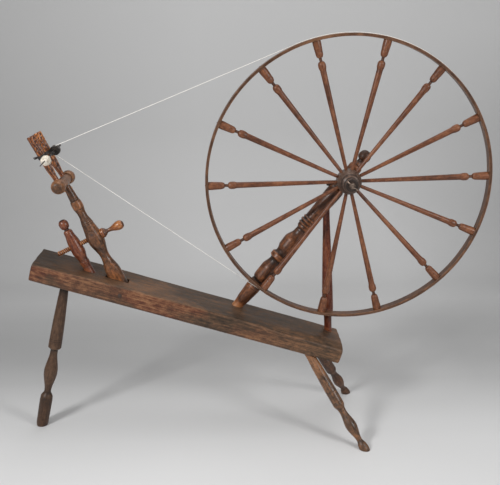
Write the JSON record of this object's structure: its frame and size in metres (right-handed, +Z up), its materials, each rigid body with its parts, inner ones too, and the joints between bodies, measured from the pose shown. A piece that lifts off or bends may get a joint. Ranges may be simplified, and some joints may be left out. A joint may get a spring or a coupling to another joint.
{
  "type": "spinning wheel",
  "caption": "Great wheel for wool: a large spoked wheel on a sloping three-legged bench drives a spindle by a cord, and a wooden screw tilts the spindle post to tighten it.",
  "frame": {"origin": "on the floor at the middle of the wheel's length, in the plane in which the wheel turns", "axes": "+X along the bench towards the wheel, +Y from the spinner's side to the far side, +Z up"},
  "size_m": [1.8509, 0.5351, 1.6004],
  "materials": {
    "bench_wood": "worn, dull, with a redder front edge",
    "leg_wood": "dark, dull",
    "post_wood": "dark, waxed",
    "red_wood": "dark red-brown, waxed",
    "hub_wood": "grey-brown, satin",
    "rim_wood": "bent splint, satin",
    "spoke_wood": "red-brown, satin",
    "maiden_wood": "orange-brown, worn",
    "screw_wood": "golden brown, waxed",
    "whorl_wood": "nearly black, oily",
    "leather": "black, stiff",
    "iron": "dark wrought iron",
    "wool": "matt, loose wool",
    "cotton": "matt cotton cord"
  },
  "bodies": {
    "stand": {"bench": "bench_wood", "leg_left": "leg_wood", "leg_front": "post_wood", "leg_rear": "leg_wood", "wheel_post": "post_wood", "post_brace": "red_wood", "axle": "leg_wood", "axle_pin": "iron", "axle_key": "leg_wood", "pivot_pin": "leg_wood", "tension_post": "red_wood", "drive_band": "cotton"},
    "wheel": {"hub": "hub_wood", "rim": "rim_wood", "rim_nails": "iron", "spoke_01": "spoke_wood", "spoke_02": "spoke_wood", "spoke_03": "spoke_wood", "spoke_04": "spoke_wood", "spoke_05": "spoke_wood", "spoke_06": "spoke_wood", "spoke_07": "spoke_wood", "spoke_08": "spoke_wood", "spoke_09": "spoke_wood", "spoke_10": "spoke_wood", "spoke_11": "spoke_wood", "spoke_12": "spoke_wood", "spoke_13": "spoke_wood", "spoke_14": "spoke_wood"},
    "spindle_head": {"spindle_post": "post_wood", "crossbar": "hub_wood", "crossbar_peg": "maiden_wood", "maiden_front": "maiden_wood", "maiden_rear": "maiden_wood", "bearing_front": "leather", "bearing_rear": "leather"},
    "spindle_shaft": {"spindle": "iron", "whorl": "whorl_wood", "yarn_cop": "wool"},
    "screw": {"tension_screw": "screw_wood"}
  },
  "joints": [
    {"name": "wheel_spin", "type": "hinge", "parent": "stand", "child": "wheel", "pos_m": [0.3655, 0, 1.037], "axis": [0, 1, 0], "continuous": true},
    {"name": "post_tilt", "type": "hinge", "parent": "stand", "child": "spindle_head", "pos_m": [-0.53249, 0, 0.60905], "axis": [0, 1, 0], "range_deg": [-1.5, 1.5], "deforming": ["drive_band"]},
    {"name": "spindle_spin", "type": "hinge", "parent": "spindle_head", "child": "spindle_shaft", "pos_m": [-0.76052, 0, 1.16668], "axis": [-0.0184, 0.999, 0.0395], "continuous": true},
    {"name": "screw_turn", "type": "hinge", "parent": "spindle_head", "child": "screw", "pos_m": [-0.63212, 0, 0.82271], "axis": [0.9026, 0, 0.4305], "range_deg": [-280, 280]}
  ],
  "couplings": [
    {"joint": "spindle_spin", "follows": "wheel_spin", "ratio": 37.484},
    {"joint": "screw_turn", "follows": "post_tilt", "ratio": 185}
  ]
}
